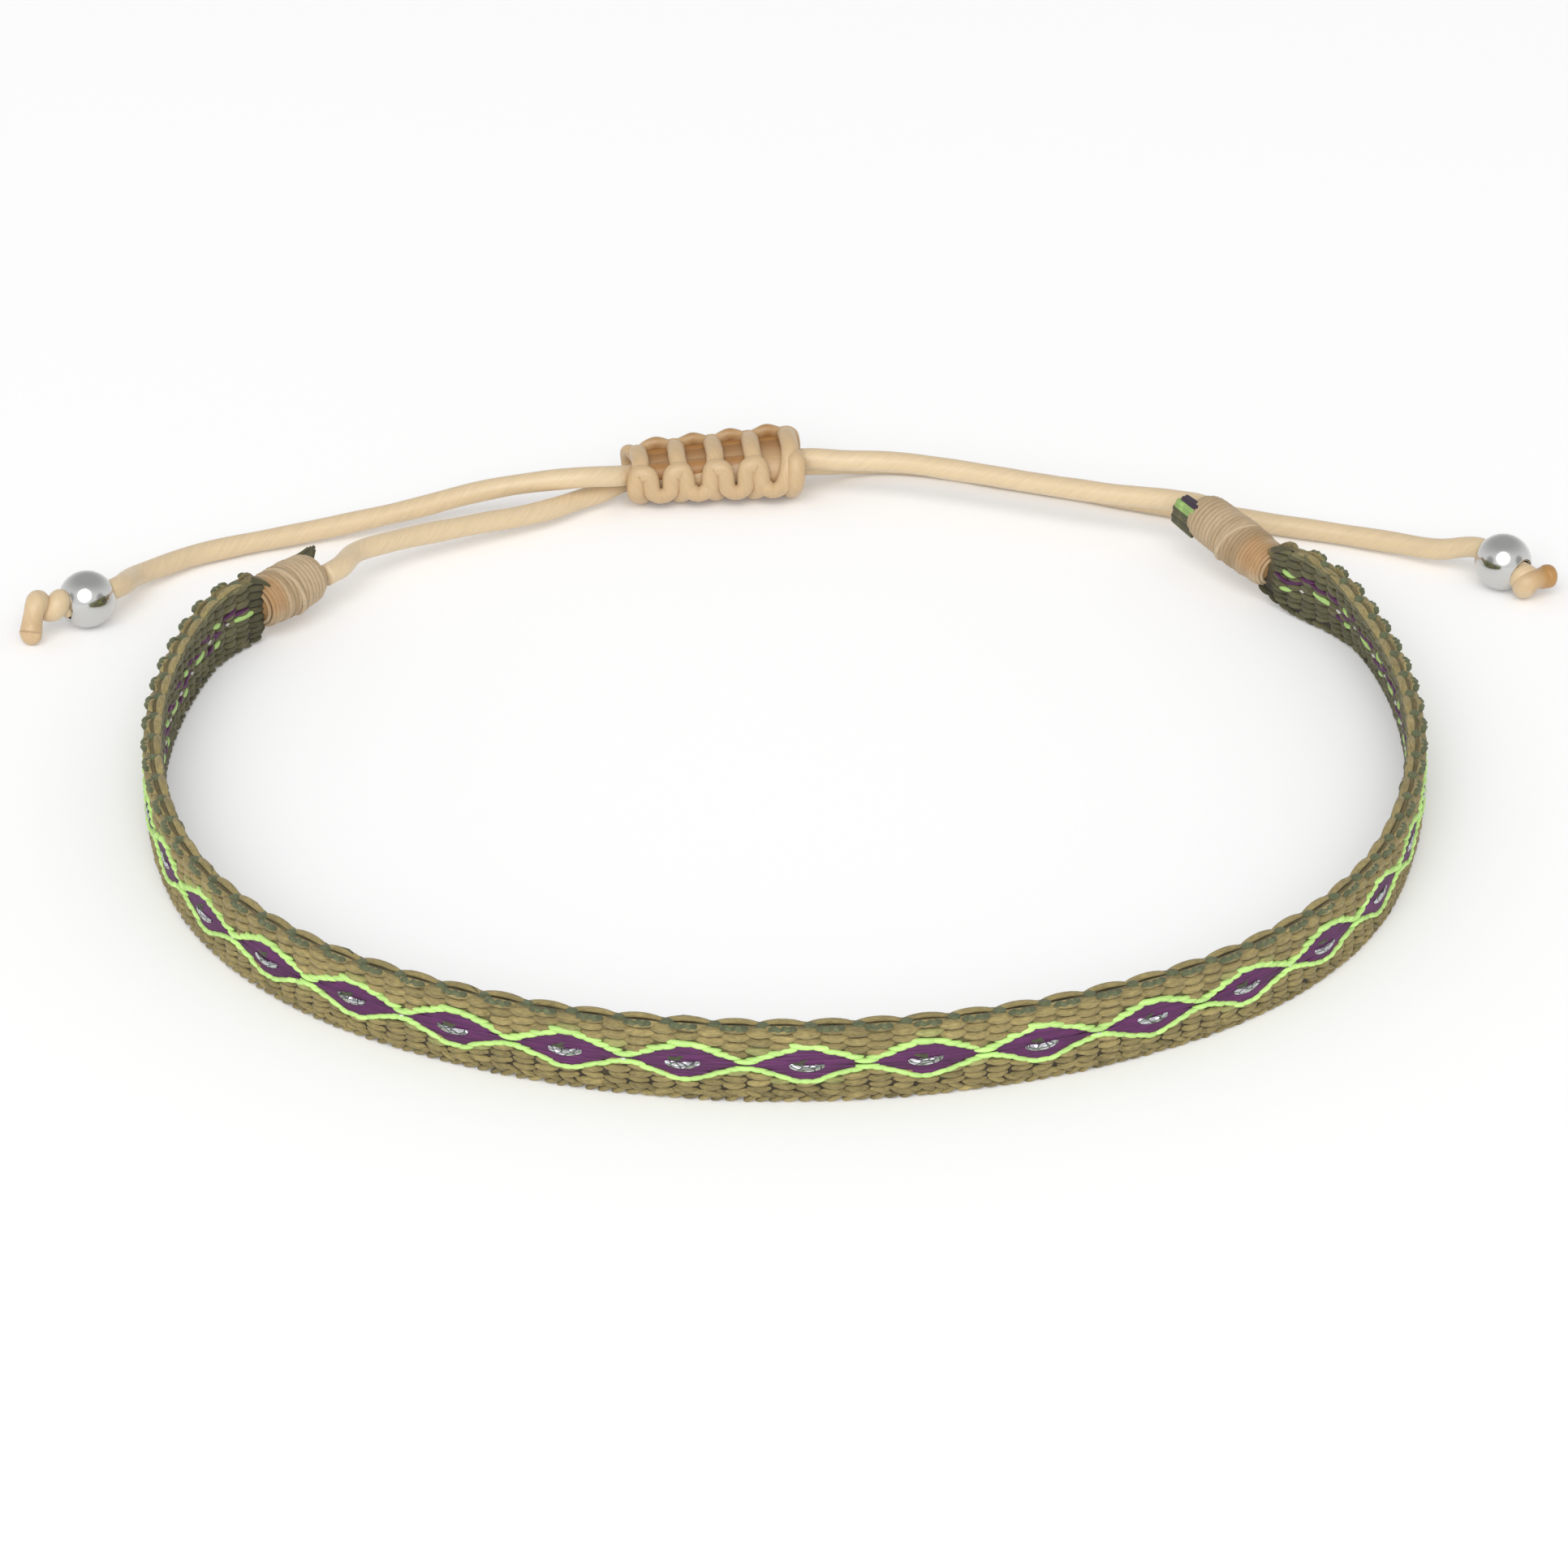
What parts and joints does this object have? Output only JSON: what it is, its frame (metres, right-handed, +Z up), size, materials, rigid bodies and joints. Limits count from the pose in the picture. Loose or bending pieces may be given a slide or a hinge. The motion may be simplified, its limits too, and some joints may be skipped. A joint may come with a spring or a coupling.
{
  "type": "friendship bracelet",
  "caption": "Flat woven friendship bracelet with whipped ends, two waxed cords through a sliding macrame knot, steel end beads and end knots.",
  "frame": {"origin": "middle of the loop at the surface it stands on: the bottom centre of the bracelet without its two loose tails, their beads and end knots", "axes": "+X to the right and +Y to the back, where the sliding knot is, +Z up"},
  "size_m": [0.0799, 0.0673, 0.0043],
  "materials": {
    "weave": "warp-faced weave in olive, with neon green and purple diamonds and silver glints",
    "wrap_thread": "wound thread",
    "cord": "waxed cord with a satin sheen",
    "end_knot": "waxed cord, heat sealed at the tip",
    "steel": "polished stainless steel"
  },
  "bodies": {
    "root": {"band": "weave", "left_wrap": "wrap_thread", "right_wrap": "wrap_thread", "sliding_knot": "cord", "left_loop_cord": "cord", "right_loop_cord": "cord", "left_tail_cord": "cord", "right_tail_cord": "cord", "left_bead": "steel", "right_bead": "steel", "left_end_knot": "end_knot", "right_end_knot": "end_knot"}
  },
  "joints": []
}
